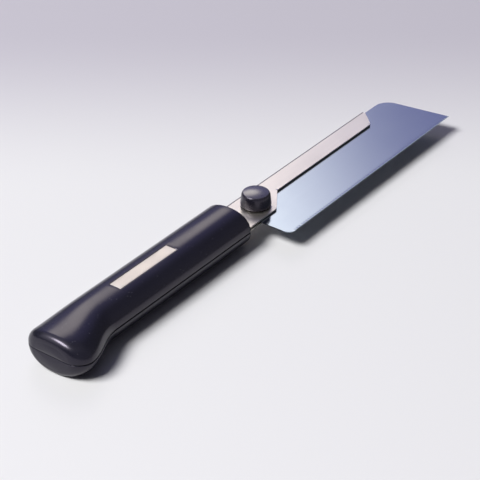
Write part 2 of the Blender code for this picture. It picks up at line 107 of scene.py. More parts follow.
CAP_SCALES = np.array([0.0, 0.25, 0.5, 0.75, 0.92])

# Recess of the label: how deep its wall is, as a share, at distances inward from its edge
RECESS_DEPTH = 0.0011
RECESS_HALF = (LABEL_HIGH - LABEL_LOW)[:2] / 2 + CLEARANCE
RECESS_WALL_AT = np.array([-0.0002, -0.0001, 0.0, 0.00008, 0.00016])
RECESS_WALL_SHARE = np.array([0.0, 0.03, 0.14, 0.92, 1.0])

# Label slip
LABEL_EDGE = 0.00012
LABEL_BORDER_AT = 0.0006
LABEL_BORDER_WIDTH = 0.00025
LABEL_BORDER_DEPTH = 0.00005
BORDER_LINES = 9
LABEL_LINES = 12

# Folded holder
LEAF_THICKNESS = 0.0009
FOLD_RADIUS = (HOLDER_HIGH[2] - HOLDER_LOW[2]) / 2
SLOT_RADIUS = FOLD_RADIUS - LEAF_THICKNESS
HOLDER_SHOULDER = FRONT_X + CLEARANCE
PLATE_LENGTH = 0.023
SLANT_LENGTH = 0.015
SLANT_START = FRONT_X + PLATE_LENGTH
SLANT_END = SLANT_START + SLANT_LENGTH
STRIP_WIDTH = 0.0117
STRIP_END_CUT = 0.0088
STRIP_END_FLAT = 0.0026
STRIP_END_START = HOLDER_HIGH[0] - STRIP_END_CUT
PLAN_CORNER = 0.0006
HOLDER_EDGE = 0.00012
TANG_WIDTH = 0.015
HOLDER_LINES = 60
CORNER_LINES = 9
FOLD_STEPS = 20
LEAF_STEPS = 6
# Screws, counted from the front, that pass through the tang
TANG_SCREWS = 2

# Blade
TIP_SETBACK = 0.0057
TIP_CORNER_RADIUS = 0.009
HEEL_CORNER_RADIUS = 0.0043
HEEL_CHAMFER = 0.0103
TOOTH_PITCH = 0.001
TOOTH_DEPTH = 0.0008
TOOTH_LEAN = 0.3
TOOTH_SET = 0.00004
TOOTH_GRIND = 0.0016
TOOTH_EDGE_SHARE = 0.8
TOOTH_FADES_IN = 0.003
BLADE_HOLE_DIAMETER = 0.005
BLADE_LINES = 6
TIP_LINES = 12
# Where the ground band has its rows, as shares of the way from the tooth edge to the flat of the blade
GROUND_ROWS = np.array([0, 0.5])
# Narrow rows along both edges, which keep an edge's shading and wear off the flat of the blade
EDGE_MARGIN = 0.00015
EDGE_ROWS = 2

# Clamp
KNOB_TOP_DIAMETER = 0.0149
KNOB_BASE_DIAMETER = 0.0157
KNOB_DOME_HEIGHT = 0.0007
KNOB_RIM_RADIUS = 0.0011
KNOB_SHOULDER = 0.0026
KNOB_FOOT_RADIUS = 0.0008
DOME_STEPS = 16
STUD_DIAMETER = 0.004
STUD_HEAD_HEIGHT = 0.0038
STUD_TIP_CHAMFER = 0.0005
STUD_HOLE = STUD_DIAMETER + 2 * CLEARANCE
THREAD_PITCH = 0.0007
THREAD_DEPTH = 0.0003
THREAD_PLAY = 0.00006
LINES_PER_PITCH = 14
# Share of the pitch that is flat at a thread's crest, and again at its root
THREAD_FLAT = 0.1875
NUT_PILOT_DIAMETER = 0.0064
PILOT_HOLE = NUT_PILOT_DIAMETER + 2 * CLEARANCE
NUT_KNURLS = 40
COLUMNS_PER_KNURL = 4
KNURL_DEPTH = 0.00018
NUT_EDGE = 0.00035
WASHER_EDGE = 0.00012

# Handle screws
SCREW_NAMES = ("front", "middle", "rear")
SCREW_DIAMETER = 0.003
SHANK_HOLE = SCREW_DIAMETER + 2 * CLEARANCE
SCREW_HEAD_DIAMETER = 0.0055
HEAD_HOLE = SCREW_HEAD_DIAMETER + 2 * CLEARANCE
SCREW_HEAD_HEIGHT = 0.002
SCREW_HEAD_CROWN = 0.0006
SCREW_CROWN_STEPS = 9
SCREW_THREAD_PITCH = 0.0013
SCREW_THREAD_DEPTH = 0.0004
SCREW_POINT_LENGTH = 0.0015
SCREW_CROSS_LENGTH = 0.0032
SCREW_CROSS_WIDTH = 0.0007
SCREW_CROSS_DEPTH = 0.0010
SCREW_SEAT_MOUTH = 0.0004

# Fineness of round pieces and of eased edges
ROUND_COLUMNS = 128
BOLT_COLUMNS = 64
ARC_STEPS = 10
EASE_STEPS = 2
# How far a cutting body runs past the face that it opens
OVERRUN = 0.001
# Points closer than this are one point, and openings with no more sides than this are closed
WELD = 1e-7
GAP_SIDES = 4
# Decimals to which the rows of the handle and the blade are told apart
HANDLE_DECIMALS = 6
BLADE_DECIMALS = 7
SMOOTH_BELOW = np.radians(35)
# Curvature, in radians per metre, at which an edge starts to wear and is fully worn
WEAR_STARTS = 500
WEAR_FULL = 3000


def smooth_step(share):
    """Curve 3s^2 - 2s^3 that leaves 0 and reaches 1 without a kink."""
    share = np.clip(share, 0, 1)
    return share * share * (3 - 2 * share)


def drawn_in(distance, radius):
    """How far a rounded end draws a side in: a quarter circle up to its radius from the end, then 0."""
    inside = np.clip(radius - distance, 0, radius)
    return radius - np.sqrt(radius ** 2 - inside ** 2)


def soft_ramp(along, half):
    """Ramp max(along, 0) whose corner is a parabola over a half-width on either side of it."""
    corner = (along + half) ** 2 / (4 * half)
    return np.where(along < -half, 0, np.where(along > half, along, corner))


def quarter(steps=ARC_STEPS):
    """Angles of a quarter turn, both ends included."""
    return np.linspace(0, np.pi / 2, steps + 1)


def ring_quads(rows, columns):
    """Corner numbers of the quads of a grid whose last column joins its first."""
    row, column = np.meshgrid(np.arange(rows - 1), np.arange(columns), indexing="ij")
    after = (column + 1) % columns
    start = row * columns
    quads = np.stack([start + column, start + after, start + columns + after, start + columns + column], -1)
    return quads.reshape(-1, 4)


def tidy_mesh(mesh):
    """Weld seams and poles, drop faces that they flatten, close small gaps and turn faces outwards."""
    drawn = bmesh.new()
    drawn.from_mesh(mesh)
    bmesh.ops.remove_doubles(drawn, verts=drawn.verts, dist=WELD)
    bmesh.ops.dissolve_degenerate(drawn, edges=drawn.edges, dist=WELD)
    open_edges = [edge for edge in drawn.edges if edge.is_boundary]
    bmesh.ops.holes_fill(drawn, edges=open_edges, sides=GAP_SIDES)
    bmesh.ops.recalc_face_normals(drawn, faces=drawn.faces)
    drawn.to_mesh(mesh)
    drawn.free()
    return mesh


def skin(name, points):
    """Closed mesh over a ring-shaped grid of points, given as an array of rows, columns and x, y, z."""
    rows, columns, _ = points.shape
    mesh = bpy.data.meshes.new(name)
    mesh.from_pydata(points.reshape(-1, 3).tolist(), [], ring_quads(rows, columns).tolist())
    return tidy_mesh(mesh)


def sheet(name, first, second, pointed=False):
    """Closed mesh between two facing grids of points.

    Its ends close to the line midway between the grids, unless the far end is drawn to a point already.
    """
    faces = np.concatenate([first, second[:, ::-1]], axis=1)
    middle = (first + second) / 2
    ends = np.concatenate([middle, middle[:, ::-1]], axis=1)
    rows = [ends[:1], faces]
    if not pointed:
        rows.append(ends[-1:])
    return skin(name, np.concatenate(rows))


def turned(name, radius, height, centre, columns=ROUND_COLUMNS):
    """Surface of revolution about an upright axis.

    A point is (radius * cos turn, radius * sin turn, height), with the profile's radius and height along
    the rows and the turn along the columns. The radius may also change with the turn, as a thread's does.
    """
    turn = np.linspace(0, 2 * np.pi, columns, endpoint=False)
    radius = np.asarray(radius)
    radius = radius if radius.ndim == 2 else radius[:, None]
    x = centre[0] + radius * np.cos(turn)
    y = centre[1] + radius * np.sin(turn)
    z = np.broadcast_to(np.asarray(height)[:, None], x.shape)
    return skin(name, np.stack([x, y, z], -1))


def thread(height, columns, pitch, depth):
    """Depth of a right-hand helical groove.

    It is a triangle wave of height / pitch less the share of a turn, with its crests and roots cut flat.
    """
    turn = np.linspace(0, 1, columns, endpoint=False)
    phase = (height[:, None] / pitch - turn) % 1
    flank = (np.abs(2 * phase - 1) - THREAD_FLAT) / (1 - 2 * THREAD_FLAT)
    return depth * np.clip(flank, 0, 1)


def box_mesh(name, low, high):
    """Box between two corners, as a tube of four columns closed to its middle line at both ends."""
    y = np.array([low[1], high[1], high[1], low[1]])
    z = np.array([low[2], low[2], high[2], high[2]])
    middle = np.full(4, (low[2] + high[2]) / 2)
    ends = ((low[0], middle), (low[0], z), (high[0], z), (high[0], middle))
    return skin(name, np.array([np.stack([np.full(4, x), y, level], -1) for x, level in ends]))


def cylinder_mesh(name, diameter, centre, low, high, mouth=0.0):
    """Upright cutting cylinder between two heights.

    Below, it runs on as a 45-degree cone, which cuts a mouth of a given size into the face at its foot.
    """
    radius = diameter / 2
    radii = [0, radius + mouth + OVERRUN, radius, radius, 0]
    heights = [low - OVERRUN, low - OVERRUN, low + mouth, high, high]
    return turned(name, radii, heights, centre, BOLT_COLUMNS)


def new_object(name, mesh):
    """Object at the origin that holds a mesh."""
    made = bpy.data.objects.new(name, mesh)
    bpy.context.scene.collection.objects.link(made)
    return made


def bake(piece):
    """Settle a piece's modifiers into its mesh."""
    seen = piece.evaluated_get(bpy.context.evaluated_depsgraph_get())
    settled = bpy.data.meshes.new_from_object(seen)
    piece.modifiers.clear()
    piece.data = tidy_mesh(settled)


def carve(piece, meshes, operation="DIFFERENCE"):
    """Cut bodies out of a piece, or join them to it, and settle the result."""
    bodies = [new_object("carving_body", mesh) for mesh in meshes]
    for body in bodies:
        step = piece.modifiers.new("carve", "BOOLEAN")
        step.operation = operation
        step.solver = "EXACT"
        step.object = body
    bake(piece)
    for body in bodies:
        bpy.data.objects.remove(body, do_unlink=True)


def ease_edges(piece, width):
    """Round a piece's sharp edges."""
    step = piece.modifiers.new("ease_edges", "BEVEL")
    step.width = width
    step.segments = EASE_STEPS
    step.limit_method = "ANGLE"
    step.angle_limit = SMOOTH_BELOW
    step.use_clamp_overlap = True
    bake(piece)


def mark_edges(mesh):
    """Store how much each point stands out, from 0 to 1, as the attribute "edge".

    Along each mesh edge the curvature is the change of normal over the change of place; a point takes the
    largest of its edges, so rounded corners that stand out count and hollows don't.
    """
    count = len(mesh.vertices)
    place = np.empty(count * 3)
    normal = np.empty(count * 3)
    ends = np.empty(len(mesh.edges) * 2, dtype=np.int32)
    mesh.vertices.foreach_get("co", place)
    mesh.vertices.foreach_get("normal", normal)
    mesh.edges.foreach_get("vertices", ends)
    place = place.reshape(-1, 3)
    normal = normal.reshape(-1, 3)
    first, last = ends.reshape(-1, 2).T
    step = place[first] - place[last]
    length_squared = np.maximum((step ** 2).sum(1), WELD ** 2)
    curvature = ((normal[first] - normal[last]) * step).sum(1) / length_squared
    largest = np.zeros(count)
    np.maximum.at(largest, first, curvature)
    np.maximum.at(largest, last, curvature)
    worn = smooth_step((largest - WEAR_STARTS) / (WEAR_FULL - WEAR_STARTS))
    mesh.attributes.new("edge", "FLOAT", "POINT").data.foreach_set("value", worn)


def dress(piece, body, slot, finish, *nodes):
    """Give a piece smooth shading, edge wear, its finish and its body, and hide the nodes it replaces; the
    slot is not used.
    """
    mesh = piece.data
    mesh.shade_smooth()
    mesh.set_sharp_from_angle(angle=SMOOTH_BELOW)
    mark_edges(mesh)
    mesh.materials.clear()
    mesh.materials.append(finish)
    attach(piece, body)
    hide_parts(*nodes)


# Shader nodes

def feed(tree, socket, value):
    """Set a socket, or link an output to it."""
    if isinstance(value, bpy.types.NodeSocket):
        tree.links.new(value, socket)
    else:
        socket.default_value = value


def add_node(tree, kind, options=None, **sockets):
    """New shader node. Options are its own settings; a socket takes a value, or an output to link from."""
    made = tree.nodes.new("ShaderNode" + kind)
    for name, value in (options or {}).items():
        setattr(made, name, value)
    for name, value in sockets.items():
        feed(tree, made.inputs[name.replace("_", " ")], value)
    return made


def calculate(tree, operation, *values):
    """Output of a Math node."""
    made = add_node(tree, "Math", {"operation": operation})
    for socket, value in zip(made.inputs, values):
        feed(tree, socket, value)
    return made.outputs[0]


def dot_product(tree, first, second):
    """Output of the dot product of two vectors."""
    made = add_node(tree, "VectorMath", {"operation": "DOT_PRODUCT"})
    feed(tree, made.inputs[0], first)
    feed(tree, made.inputs[1], second)
    return made.outputs["Value"]


def stretch(tree, value, low, high, to_low=0.0, to_high=1.0, smooth=False):
    """Output that carries a value from one range to another, held at the range's ends."""
    way = {"clamp": True, "interpolation_type": "SMOOTHSTEP" if smooth else "LINEAR"}
    made = add_node(
        tree, "MapRange", way, Value=value, From_Min=low, From_Max=high, To_Min=to_low, To_Max=to_high)
    return made.outputs["Result"]


def mix_colour(tree, share, first, second):
    """Output that mixes two colours."""
    made = add_node(tree, "Mix", {"data_type": "RGBA"})
    feed(tree, made.inputs["Factor"], share)
    colours = [socket for socket in made.inputs if socket.type == "RGBA"]
    for socket, colour in zip(colours, (first, second)):
        feed(tree, socket, colour)
    return next(socket for socket in made.outputs if socket.type == "RGBA")


def object_place(tree):
    """Output of the piece's own coordinates."""
    return add_node(tree, "TexCoord").outputs["Object"]


def object_noise(tree, scale, detail, stretch_by=(1, 1, 1)):
    """Output of a noise on the piece's own coordinates, at a number of grains per metre."""
    drawn_out = add_node(tree, "Mapping", Vector=object_place(tree), Scale=stretch_by).outputs["Vector"]
    return add_node(tree, "TexNoise", Vector=drawn_out, Scale=scale, Detail=detail).outputs["Fac"]


def upward(tree):
    """Output that is 1 on faces that look up, 0 on upright ones and -1 on faces that look down."""
    normal = add_node(tree, "NewGeometry").outputs["Normal"]
    return add_node(tree, "SeparateXYZ", Vector=normal).outputs["Z"]


def new_group(name, inputs, outputs):
    """Shader node group with named value sockets; gives its tree and its two end nodes."""
    tree = bpy.data.node_groups.new(name, "ShaderNodeTree")
    for socket, value in inputs.items():
        made = tree.interface.new_socket(socket, in_out="INPUT", socket_type="NodeSocketFloat")
        made.default_value = value
    for socket in outputs:
        tree.interface.new_socket(socket, in_out="OUTPUT", socket_type="NodeSocketFloat")
    return tree, tree.nodes.new("NodeGroupInput"), tree.nodes.new("NodeGroupOutput")


def use_group(tree, group, **values):
    """Node that places a group in a material with its own values."""
    made = tree.nodes.new("ShaderNodeGroup")
    made.node_tree = group
    for name, value in values.items():
        made.inputs[name.replace("_", " ")].default_value = value
    return made


# Shared effects

# Fineness of slow changes of tone and of coarse lines, as shares of the grain's and the lines' own
TONE_FINENESS = 0.02
COARSE_FINENESS = 0.22
COARSE_SHARE = 0.35
# How fast a pattern changes along the saw, as a share of how fast it changes across it
LINE_STRETCH = (0.006, 1, 1)
SMEAR_STRETCH = (0.6, 1, 1)
# Noise values between which an effect grows from nothing to full
LINE_TONES = (0.35, 0.65)
WEAR_PATCHES = (0.38, 0.62)
SMEAR_PATCHES = (0.42, 0.66)
# Dust: where a speck fades, from its middle out, the share of bare cells, and how far up dusty faces look
SPECK_FADES = (0.10, 0.16)
BARE_CELLS = 0.93
DUST_FACING = (0.2, 0.7)


def make_fine_grain():
    """Group: the fine pebble of a moulded or blasted face, as a height and as a slow change of tone."""
    tree, given, result = new_group("fine_grain", {"Grains per metre": 2500.0}, ["Height", "Tone"])
    scale = given.outputs["Grains per metre"]
    feed(tree, result.inputs["Height"], object_noise(tree, scale, detail=3.0))
    slow = calculate(tree, "MULTIPLY", scale, TONE_FINENESS)
    feed(tree, result.inputs["Tone"], object_noise(tree, slow, detail=3.0))
    return tree


def make_brushed_lines():
    """Group: lines drawn along X by a belt, fine and coarse together, as a height and a tone."""
    tree, given, result = new_group("brushed_lines", {"Lines per metre": 6000.0}, ["Height", "Tone"])
    scale = given.outputs["Lines per metre"]
    fine = object_noise(tree, scale, 2.0, LINE_STRETCH)
    coarse_scale = calculate(tree, "MULTIPLY", scale, COARSE_FINENESS)
    coarse = object_noise(tree, coarse_scale, 2.0, LINE_STRETCH)
    fine_part = calculate(tree, "MULTIPLY", fine, 1 - COARSE_SHARE)
    coarse_part = calculate(tree, "MULTIPLY", coarse, COARSE_SHARE)
    both = calculate(tree, "ADD", fine_part, coarse_part)
    feed(tree, result.inputs["Height"], both)
    feed(tree, result.inputs["Tone"], stretch(tree, both, *LINE_TONES))
    return tree


def make_edge_wear():
    """Group: where corners that stand out have been rubbed, broken up by a noise."""
    tree, given, result = new_group("edge_wear", {"Patches per metre": 400.0, "Amount": 0.5}, ["Mask"])
    edge = add_node(tree, "Attribute", {"attribute_name": "edge"}).outputs["Fac"]
    broken = object_noise(tree, given.outputs["Patches per metre"], detail=4.0)
    rubbed = calculate(tree, "MULTIPLY", edge, stretch(tree, broken, *WEAR_PATCHES))
    feed(tree, result.inputs["Mask"], calculate(tree, "MULTIPLY", rubbed, given.outputs["Amount"]))
    return tree


def make_handling_marks():
    """Group: soft smears that a hand leaves, as a mask."""
    tree, given, result = new_group("handling_marks", {"Smears per metre": 60.0}, ["Mask"])
    smears = object_noise(tree, given.outputs["Smears per metre"], 5.0, SMEAR_STRETCH)
    feed(tree, result.inputs["Mask"], stretch(tree, smears, *SMEAR_PATCHES))
    return tree


def make_dust():
    """Group: fine specks that lie on faces that look up, as a mask."""
    tree, given, result = new_group("dust", {"Specks per metre": 900.0}, ["Mask"])
    scale = given.outputs["Specks per metre"]
    cells = add_node(tree, "TexVoronoi", Vector=object_place(tree), Scale=scale)
    speck = stretch(tree, cells.outputs["Distance"], *SPECK_FADES, 1.0, 0.0)
    chance = add_node(tree, "SeparateColor", Color=cells.outputs["Color"]).outputs["Red"]
    chosen = calculate(tree, "GREATER_THAN", chance, BARE_CELLS)
    few = calculate(tree, "MULTIPLY", speck, chosen)
    facing = stretch(tree, upward(tree), *DUST_FACING)
    feed(tree, result.inputs["Mask"], calculate(tree, "MULTIPLY", few, facing))
    return tree


FINE_GRAIN = make_fine_grain()
BRUSHED_LINES = make_brushed_lines()
EDGE_WEAR = make_edge_wear()
HANDLING_MARKS = make_handling_marks()
DUST = make_dust()


# Materials

# Plastic: the polish is a clear coat on faces that look up
PLASTIC_SHEEN = (0.92, 0.84, 1.0, 1)
PLASTIC_WEAR = 0.35
PLASTIC_SMEARS = 0.07
PLASTIC_TONE = 0.08
PEBBLE_RELIEF = 0.10
PEBBLE_DEPTH = 0.00004
POLISH_ROUGHNESS = 0.2
POLISH_IOR = 1.65
DUST_COLOUR = (0.45, 0.44, 0.46, 1)
DUST_COVER = 0.25

# Steel: belt lines make it glossier where they are pale, and rubbed edges are brighter than the rest
STEEL_SMEARS_PER_METRE = 90.0
STEEL_WEAR = 0.6
RUBBED_BRIGHTNESS = 1.08
LINE_GLOSS = 0.2
LINE_DEPTH = 0.00003
# Folded sheet: painted shade on upright cut edges: how level a face is where it starts to fade and where it
# is gone, and how dark it gets
EDGE_SHADE_LEVELS = (0.3, 0.8)
EDGE_SHADE_SHARE = 0.6
# Colour of the painted shade on cut edges and of the band painted darker along the fold
FOLD_AND_SHADE_COLOUR = (0.13, 0.12, 0.13, 1)
# Distances from the back edge, in radii of the fold, at which the sheet starts to be painted darker and is
# fully dark
FOLD_DARKENS_AT = np.array([1.15, 0.85])
DARK_FOLD_BAND = HOLDER_HIGH[1] - FOLD_RADIUS * FOLD_DARKENS_AT

# Label foil
FOIL_COLOUR = (0.72, 0.645, 0.57, 1)
FOIL_SHADE = (0.64, 0.57, 0.505, 1)
FOIL_RUBBED = (0.80, 0.76, 0.72, 1)
FOIL_METALLIC = 0.25
FOIL_ROUGHNESS = 0.34
FOIL_GRAIN = 5000.0
FOIL_SMEARS_PER_METRE = 140.0
FOIL_SMEARS = 0.12
FOIL_WEAR = 0.5
FOIL_RELIEF = 0.15
FOIL_DEPTH = 0.00003


def new_material(name):
    """Material with its tree and its Principled shader."""
    made = bpy.data.materials.new(name)
    made.use_nodes = True
    return made, made.node_tree, made.node_tree.nodes["Principled BSDF"]


def raise_surface(tree, shader, height, strength, depth):
    """Give a shader's normal the relief of a height."""
    bump = add_node(tree, "Bump", Strength=strength, Distance=depth, Height=height)
    feed(tree, shader.inputs["Normal"], bump.outputs["Normal"])


def black_plastic(name, colour, worn, roughness, grain, ior, polish=None):
    """Moulded black plastic: fine pebble, smears from a hand, a little dust and paler rubbed edges.

    Polish gives how far a face has to look up to start to shine, and to shine fully, as the top of a knob
    that fingers rub does.
    """
    made, tree, shader = new_material(name)
    shader.inputs["IOR"].default_value = ior
    shader.inputs["Specular Tint"].default_value = PLASTIC_SHEEN
    pebble = use_group(tree, FINE_GRAIN, Grains_per_metre=grain)
    marks = use_group(tree, HANDLING_MARKS)
    wear = use_group(tree, EDGE_WEAR, Amount=PLASTIC_WEAR)
    dust = use_group(tree, DUST)
    rubbed = mix_colour(tree, wear.outputs["Mask"], (*colour, 1), (*worn, 1))
    dusty = calculate(tree, "MULTIPLY", dust.outputs["Mask"], DUST_COVER)
    feed(tree, shader.inputs["Base Color"], mix_colour(tree, dusty, rubbed, DUST_COLOUR))
    smeared = calculate(tree, "MULTIPLY_ADD", marks.outputs["Mask"], PLASTIC_SMEARS, roughness)
    toned = calculate(tree, "MULTIPLY_ADD", pebble.outputs["Tone"], PLASTIC_TONE, smeared)
    feed(tree, shader.inputs["Roughness"], calculate(tree, "ADD", toned, dusty))
    raise_surface(tree, shader, pebble.outputs["Height"], PEBBLE_RELIEF, PEBBLE_DEPTH)
    if polish:
        shader.inputs["Coat Roughness"].default_value = POLISH_ROUGHNESS
        shader.inputs["Coat IOR"].default_value = POLISH_IOR
        feed(tree, shader.inputs["Coat Weight"], stretch(tree, upward(tree), *polish, smooth=True))
    return made


def dark_fold_and_edge_shade(tree, dark_fold):
    """Output that is 1 on a band painted darker along a fold, between two places across the saw, and less
    as painted shade on upright cut edges.
    """
    across = add_node(tree, "SeparateXYZ", Vector=object_place(tree)).outputs["Y"]
    dark_fold_mask = stretch(tree, across, *dark_fold, smooth=True)
    level = calculate(tree, "ABSOLUTE", upward(tree))
    # Painted shade on upright cut edges
    cut = stretch(tree, level, *EDGE_SHADE_LEVELS, EDGE_SHADE_SHARE, 0.0, smooth=True)
    return calculate(tree, "MAXIMUM", dark_fold_mask, cut)


def brushed_steel(name, colour, shade, roughness, lines, relief, smears, dark_fold=None):
    """Bare or plated steel with belt lines along it, smears and rubbed edges.

    A dark fold gives the places across the saw between which a folded sheet is painted darker. Its upright
    cut edges get painted shade.
    """
    made, tree, shader = new_material(name)
    shader.inputs["Metallic"].default_value = 1
    belt = use_group(tree, BRUSHED_LINES, Lines_per_metre=lines)
    marks = use_group(tree, HANDLING_MARKS, Smears_per_metre=STEEL_SMEARS_PER_METRE)
    wear = use_group(tree, EDGE_WEAR, Amount=STEEL_WEAR)
    rubbed = [RUBBED_BRIGHTNESS * part for part in colour]
    toned = mix_colour(tree, belt.outputs["Tone"], (*shade, 1), (*colour, 1))
    toned = mix_colour(tree, wear.outputs["Mask"], toned, (*rubbed, 1))
    # Band painted darker along the fold, and painted shade on upright cut edges
    if dark_fold is not None:
        toned = mix_colour(tree, dark_fold_and_edge_shade(tree, dark_fold), toned, FOLD_AND_SHADE_COLOUR)
    feed(tree, shader.inputs["Base Color"], toned)
    lined = calculate(tree, "MULTIPLY_ADD", belt.outputs["Tone"], -LINE_GLOSS * relief, roughness)
    smeared = calculate(tree, "MULTIPLY_ADD", marks.outputs["Mask"], smears, lined)
    feed(tree, shader.inputs["Roughness"], smeared)
    raise_surface(tree, shader, belt.outputs["Height"], relief, LINE_DEPTH)
    return made


def cream_foil(name):
    """Cream satin foil of the bare label: fine grain, a slow change of tone, bright rubbed edges."""
    made, tree, shader = new_material(name)
    shader.inputs["Metallic"].default_value = FOIL_METALLIC
    pebble = use_group(tree, FINE_GRAIN, Grains_per_metre=FOIL_GRAIN)
    marks = use_group(tree, HANDLING_MARKS, Smears_per_metre=FOIL_SMEARS_PER_METRE)
    wear = use_group(tree, EDGE_WEAR, Amount=FOIL_WEAR)
    toned = mix_colour(tree, pebble.outputs["Tone"], FOIL_SHADE, FOIL_COLOUR)
    rubbed = mix_colour(tree, wear.outputs["Mask"], toned, FOIL_RUBBED)
    feed(tree, shader.inputs["Base Color"], rubbed)
    smeared = calculate(tree, "MULTIPLY_ADD", marks.outputs["Mask"], FOIL_SMEARS, FOIL_ROUGHNESS)
    feed(tree, shader.inputs["Roughness"], smeared)
    raise_surface(tree, shader, pebble.outputs["Height"], FOIL_RELIEF, FOIL_DEPTH)
    return made


HANDLE_PLASTIC = black_plastic(
    "black_handle_plastic", colour=(0.007, 0.007, 0.014), worn=(0.026, 0.025, 0.032),
    roughness=0.15, grain=1800.0, ior=1.49)
KNOB_PLASTIC = black_plastic(
    "black_knob_plastic", colour=(0.012, 0.011, 0.018), worn=(0.036, 0.034, 0.042),
    roughness=0.20, grain=2600.0, ior=1.5, polish=(0.80, 0.95))
STAINLESS = brushed_steel(
    "brushed_stainless", colour=(0.715, 0.675, 0.612), shade=(0.655, 0.62, 0.56),
    roughness=0.38, lines=7000.0, relief=0.25, smears=0.05, dark_fold=DARK_FOLD_BAND)
BLADE_STEEL = brushed_steel(
    "blue_blade_steel", colour=(0.31, 0.36, 0.42), shade=(0.30, 0.35, 0.41),
    roughness=0.15, lines=9000.0, relief=0.002, smears=0.015)
ZINC = brushed_steel(
    "zinc_plated_steel", colour=(0.66, 0.66, 0.64), shade=(0.56, 0.56, 0.55),
    roughness=0.36, lines=4000.0, relief=0.10, smears=0.05)
LABEL_FOIL = cream_foil("cream_label_foil")


# Handle

def handle_rows(upper):
    """Distances from the handle's front and scales of a half's sections, down to a point at both ends."""
    rim = FRONT_RIM_RADIUS * (1 - np.cos(quarter(RIM_STEPS)))
    grip = np.linspace(FRONT_RIM_RADIUS, FLARE_START, GRIP_LINES)
    flare = np.linspace(FLARE_START, FLARE_END, FLARE_LINES)
    lines = [rim, grip, flare]
    for radius in (BUTT_LOW_RADIUS, BUTT_TOP_RADIUS, BUTT_BACK_RADIUS, BUTT_TOOTH_RADIUS):
        lines.append(HANDLE_LENGTH - radius * (1 - np.cos(quarter(BUTT_STEPS))))
    if upper:
        recess = FRONT_X - LABEL_X
        lines.append(recess - RECESS_HALF[0] + RECESS_WALL_AT)
        lines.append(recess + RECESS_HALF[0] - RECESS_WALL_AT)
    body = np.unique(np.round(np.concatenate(lines), HANDLE_DECIMALS))
    caps = len(CAP_SCALES)
    distance = np.concatenate([np.zeros(caps), body, np.full(caps, HANDLE_LENGTH)])
    scale = np.concatenate([CAP_SCALES, np.ones(len(body)), CAP_SCALES[::-1]])
    return distance[:, None], scale[:, None]


def handle_size(distance, upper):
    """Middle, half-width and height of a half's sections, at distances from the handle's front.

    Quarter circles draw the sides in at the front rim and the butt, and a smooth step takes the tooth side
    down into the pommel.
    """
    to_butt = HANDLE_LENGTH - distance
    flare = smooth_step((distance - FLARE_START) / POMMEL_FLARE_LENGTH)
    rim = drawn_in(distance, FRONT_RIM_RADIUS)
    back = GRIP_Y + GRIP_WIDTH / 2 - rim - drawn_in(to_butt, BUTT_BACK_RADIUS)
    tooth = GRIP_Y - GRIP_WIDTH / 2 - POMMEL_DROP * flare + rim + drawn_in(to_butt, BUTT_TOOTH_RADIUS)
    if upper:
        height = UPPER_HEIGHT - rim - drawn_in(to_butt, BUTT_TOP_RADIUS)
    else:
        height = LOWER_HEIGHT - rim - drawn_in(to_butt, BUTT_LOW_RADIUS)
    return (back + tooth) / 2, (back - tooth) / 2, height


def section_turns(height, upper):
    """Angles round a half's sections from lip to lip, with lines at the label's recess or the flat below.

    On the superellipse, cos turn is (y / w)^(p / 2) and sin turn is (z / h)^(p / 2).
    """
    power = SECTION_POWER / 2
    if upper:
        tallest = UPPER_HEIGHT
        lines = np.arccos(((RECESS_HALF[1] - RECESS_WALL_AT) / (GRIP_WIDTH / 2)) ** power)
    else:
        tallest = LOWER_HEIGHT
        lines = np.arcsin([(BLADE_Z / tallest) ** power])
    first = np.arcsin((LIP_TOP / height) ** power)
    grip_first = np.arcsin((LIP_TOP / tallest) ** power)
    extra = (lines - grip_first) / (np.pi - 2 * grip_first)
    share = np.unique(np.concatenate([np.linspace(0, 1, SECTION_STEPS + 1), extra, 1 - extra]))
    return first + (np.pi - 2 * first) * share


def handle_half(upper):
    """Points of one moulded half: sections along the rows, the way round a section along the columns.

    A section is the superellipse |y / w|^p + |z / h|^p = 1 about the blade's plane, from the back to the
    tooth side, ended by a rounded lip at the parting face. The butt's face is crowned by a parabola. The
    upper half sinks to a level floor in the label's recess, and the lower one is cut flat at the bottom.
    """
    distance, scale = handle_rows(upper)
    middle, half_width, height = handle_size(distance, upper)
    turn = section_turns(height, upper)
    across = half_width * np.sign(np.cos(turn)) * np.abs(np.cos(turn)) ** (2 / SECTION_POWER)
    rise = height * np.sin(turn) ** (2 / SECTION_POWER)
    lip = quarter(LIP_STEPS)[:0:-1]
    lip_across = across[:, :1] - PARTING_LIP * (1 - np.cos(lip))
    lip_rise = np.broadcast_to(LIP_TOP - PARTING_LIP * np.sin(lip), lip_across.shape)
    across = np.concatenate([lip_across, across, -lip_across[:, ::-1]], axis=1)
    rise = np.concatenate([lip_rise, rise, lip_rise[:, ::-1]], axis=1)

    to_butt = HANDLE_LENGTH - distance
    crown = BUTT_CROWN * scale ** 2 * smooth_step(1 - to_butt / BUTT_TOOTH_RADIUS)
    cap_middle = (PARTING_RISE + height) / 2
    rise = cap_middle + scale * (rise - cap_middle)
    y = middle + scale * across
    x = np.broadcast_to(FRONT_X - distance + crown, y.shape)
    if not upper:
        return np.stack([x, y, np.maximum(BLADE_Z - rise, 0)], -1)
    z = BLADE_Z + rise
    inside_x = np.interp(RECESS_HALF[0] - np.abs(x - LABEL_X), RECESS_WALL_AT, RECESS_WALL_SHARE)
    inside_y = np.interp(RECESS_HALF[1] - np.abs(y - GRIP_Y), RECESS_WALL_AT, RECESS_WALL_SHARE)
    on_top = rise > 2 * LIP_TOP
    floor = HANDLE_TOP - RECESS_DEPTH
    return np.stack([x, y, z - on_top * inside_x * inside_y * (z - floor)], -1)


